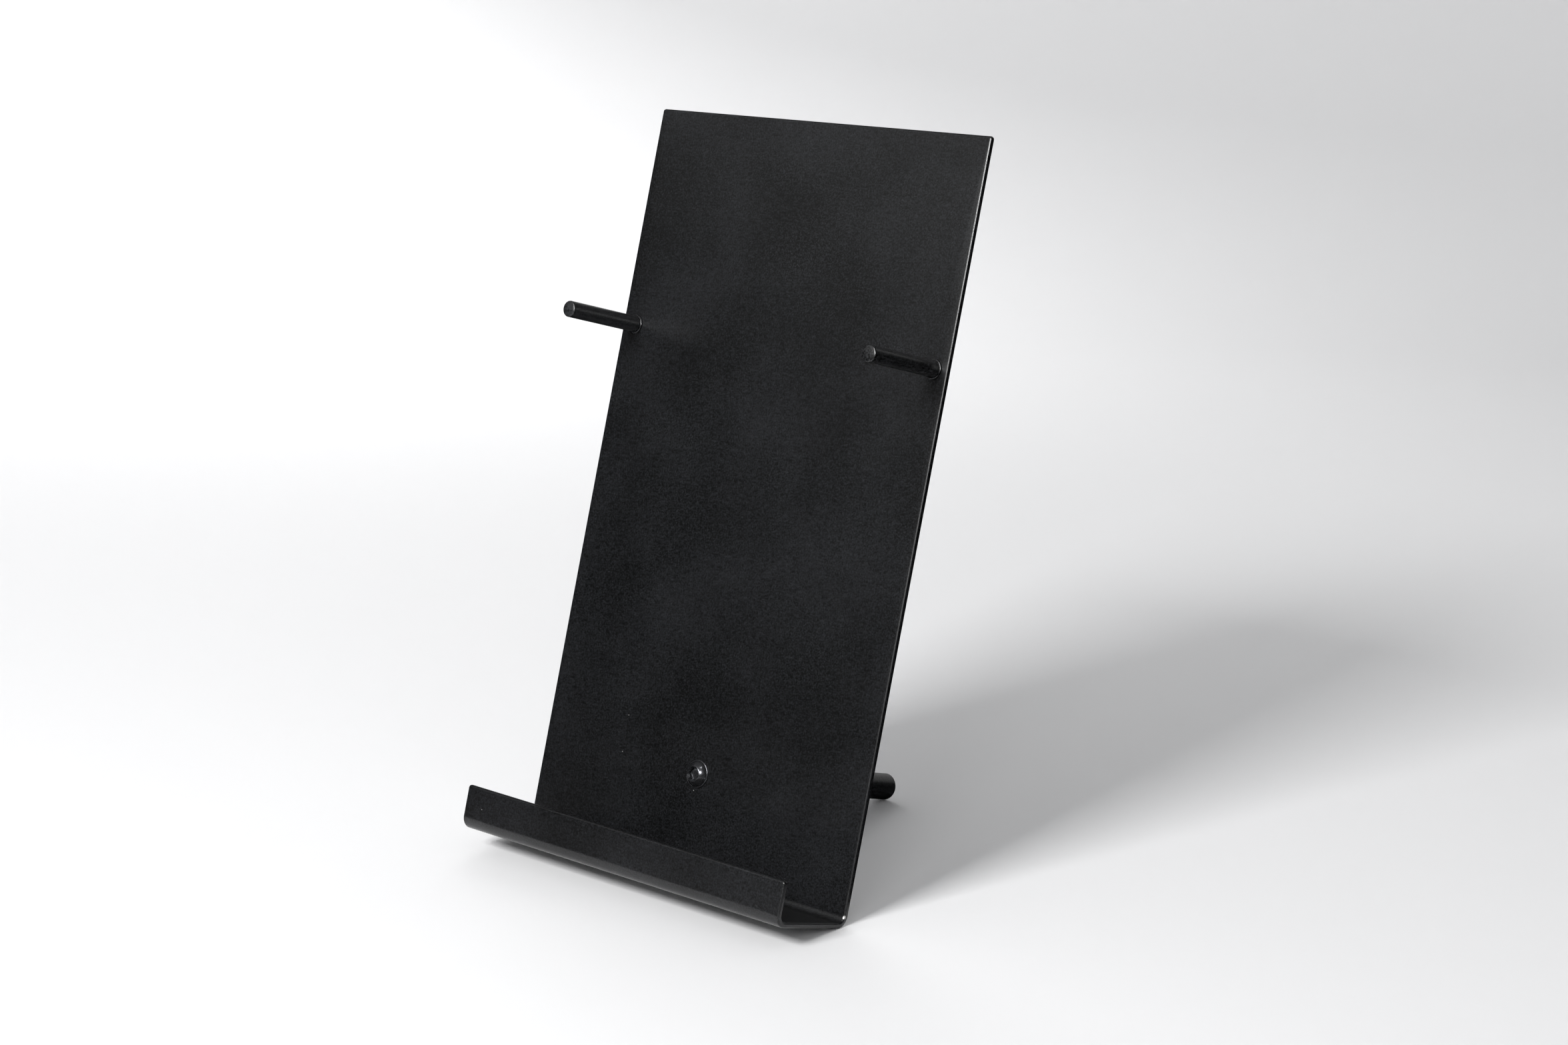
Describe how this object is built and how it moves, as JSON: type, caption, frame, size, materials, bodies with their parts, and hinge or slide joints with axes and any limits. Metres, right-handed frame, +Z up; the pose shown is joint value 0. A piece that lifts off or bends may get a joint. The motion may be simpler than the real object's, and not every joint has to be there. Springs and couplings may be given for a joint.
{
  "type": "photo album stand",
  "caption": "Leaning table stand for an open photo album: bent steel panel with a tray and lip, page pins and a screwed-on rear leg.",
  "frame": {"origin": "on the table, under the middle of the whole stand", "axes": "+X to the right of the stand seen from the front, -Y the way the album faces, +Z up"},
  "size_m": [0.155, 0.149, 0.262],
  "materials": {
    "sheet_coat": "satin black powder coat on steel sheet",
    "bar_coat": "satin black powder coat on steel bar",
    "washer_finish": "semi-gloss black coat on a steel washer",
    "screw_finish": "glossy black oxide on steel"
  },
  "bodies": {
    "panel": {"back_panel": "sheet_coat", "left_pin_washer": "washer_finish", "right_pin_washer": "washer_finish"},
    "leg": {"rear_leg": "bar_coat"},
    "leg_fixing": {"leg_screw": "screw_finish"},
    "pin_left": {"left_pin": "bar_coat"},
    "pin_left_fixing": {"left_pin_screw": "screw_finish"},
    "pin_right": {"right_pin": "bar_coat"},
    "pin_right_fixing": {"right_pin_screw": "screw_finish"}
  },
  "joints": [
    {"name": "leg_draw", "type": "slide", "parent": "panel", "child": "leg", "axis": [0, 0.959, -0.2834], "range_m": [0, 0.012]},
    {"name": "leg_screw_turn", "type": "hinge", "parent": "panel", "child": "leg_fixing", "pos_m": [0, -0.03135, 0.03553], "axis": [0, -0.959, 0.2834], "range_deg": [0, 4320]},
    {"name": "left_pin_draw", "type": "slide", "parent": "panel", "child": "pin_left", "axis": [0, -0.959, 0.2834], "range_m": [0, 0.0055]},
    {"name": "left_pin_screw_turn", "type": "hinge", "parent": "panel", "child": "pin_left_fixing", "pos_m": [-0.0713, 0.0127, 0.18456], "axis": [0, 0.959, -0.2834], "range_deg": [0, 3960]},
    {"name": "right_pin_draw", "type": "slide", "parent": "panel", "child": "pin_right", "axis": [0, -0.959, 0.2834], "range_m": [0, 0.0055]},
    {"name": "right_pin_screw_turn", "type": "hinge", "parent": "panel", "child": "pin_right_fixing", "pos_m": [0.0713, 0.0127, 0.18456], "axis": [0, 0.959, -0.2834], "range_deg": [0, 3960]}
  ],
  "couplings": [
    {"joint": "leg_screw_turn", "follows": "leg_draw", "rad_per_m": 6283.1},
    {"joint": "left_pin_screw_turn", "follows": "left_pin_draw", "rad_per_m": 12566},
    {"joint": "right_pin_screw_turn", "follows": "right_pin_draw", "rad_per_m": 12566}
  ]
}
